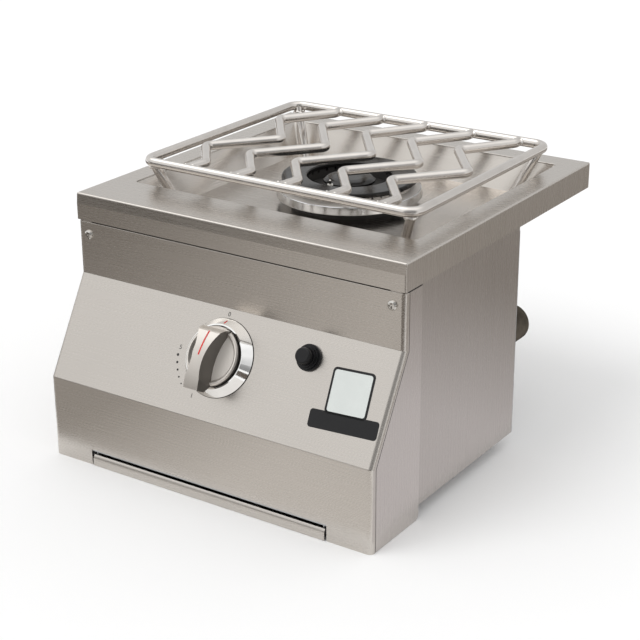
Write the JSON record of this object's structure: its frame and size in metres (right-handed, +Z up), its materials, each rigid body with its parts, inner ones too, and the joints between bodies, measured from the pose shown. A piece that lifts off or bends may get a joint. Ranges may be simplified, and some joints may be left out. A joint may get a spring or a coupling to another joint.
{
  "type": "side burner",
  "caption": "Drop-in gas side burner: stainless casing with sloped control face, knob, igniter button, zigzag rod grate over a ring burner, and a pull-out tray.",
  "frame": {"origin": "under the middle of the whole object, on the plane of the runners and panel foot", "axes": "+Z up, -Y towards the control panel, +X to the right seen from the front"},
  "size_m": [0.368, 0.425, 0.2803],
  "materials": {
    "stainless": "brushed",
    "galvanised": "dull",
    "screw_steel": "bright",
    "polished_steel": "polished",
    "grate_steel": "satin",
    "bezel_chrome": "polished",
    "knob_nickel": "satin",
    "brass": "machined",
    "black_plastic": "matte",
    "burner_iron": "black enamel",
    "ceramic": "glazed",
    "regulator_paint": "dark grey",
    "tube_aluminium": "drawn",
    "cast_aluminium": "as cast",
    "dial_ink": "printed",
    "dial_red": "printed",
    "badge_black": "satin",
    "badge_grey": "satin"
  },
  "bodies": {
    "casing": {"top_surround": "stainless", "spill_well": "stainless", "front_panel": "stainless", "left_cheek": "stainless", "right_cheek": "stainless", "left_side_wall": "stainless", "right_side_wall": "stainless", "rear_panel": "galvanised", "bottom_panel": "galvanised", "left_tray_runner": "galvanised", "right_tray_runner": "galvanised", "panel_screws": "screw_steel", "casing_screws": "screw_steel", "control_bezel": "bezel_chrome", "gas_valve": "brass", "valve_bracket": "galvanised", "igniter_collar": "black_plastic", "igniter_module": "black_plastic", "burner_base": "burner_iron", "burner_screws": "screw_steel", "drip_plate": "polished_steel", "burner_head": "cast_aluminium", "outer_burner_cap": "burner_iron", "inner_burner_cap": "burner_iron", "electrode_ceramic": "ceramic", "spark_tip": "screw_steel", "outlet_nipple": "brass", "bulkhead_nuts": "brass", "gas_regulator": "regulator_paint", "regulator_cap": "regulator_paint", "inlet_fitting": "regulator_paint", "manifold_tube": "tube_aluminium", "burner_gas_tube": "tube_aluminium", "jet_holder": "brass"},
    "stem_plunger": {"stem_washer": "screw_steel"},
    "knob": {"knob_body": "knob_nickel", "valve_stem": "brass"},
    "igniter_button": {"igniter_button": "black_plastic"},
    "tray": {"instruction_tray": "stainless"},
    "grate": {"grate_frame": "grate_steel", "grate_legs": "grate_steel", "zigzag_bar_1": "grate_steel", "zigzag_bar_2": "grate_steel", "zigzag_bar_3": "grate_steel", "zigzag_bar_4": "grate_steel", "zigzag_bar_5": "grate_steel"}
  },
  "joints": [
    {"name": "knob_push", "type": "slide", "parent": "casing", "child": "stem_plunger", "axis": [0, 0.8702, -0.4928], "range_m": [0, 0.0035], "stiffness_N_per_m": 900, "springref_m": -0.004},
    {"name": "knob_turn", "type": "hinge", "parent": "stem_plunger", "child": "knob", "pos_m": [0, -0.16861, 0.13434], "axis": [0, -0.8702, 0.4928], "range_deg": [0, 150]},
    {"name": "igniter_push", "type": "slide", "parent": "casing", "child": "igniter_button", "axis": [0, 0.8702, -0.4928], "range_m": [0, 0.005], "stiffness_N_per_m": 800, "springref_m": -0.003},
    {"name": "tray_slide", "type": "slide", "parent": "casing", "child": "tray", "axis": [0, -1, 0], "range_m": [0, 0.18]},
    {"name": "grate_lift", "type": "slide", "parent": "casing", "child": "grate", "axis": [0, 0, 1], "range_m": [0, 0.12]}
  ]
}
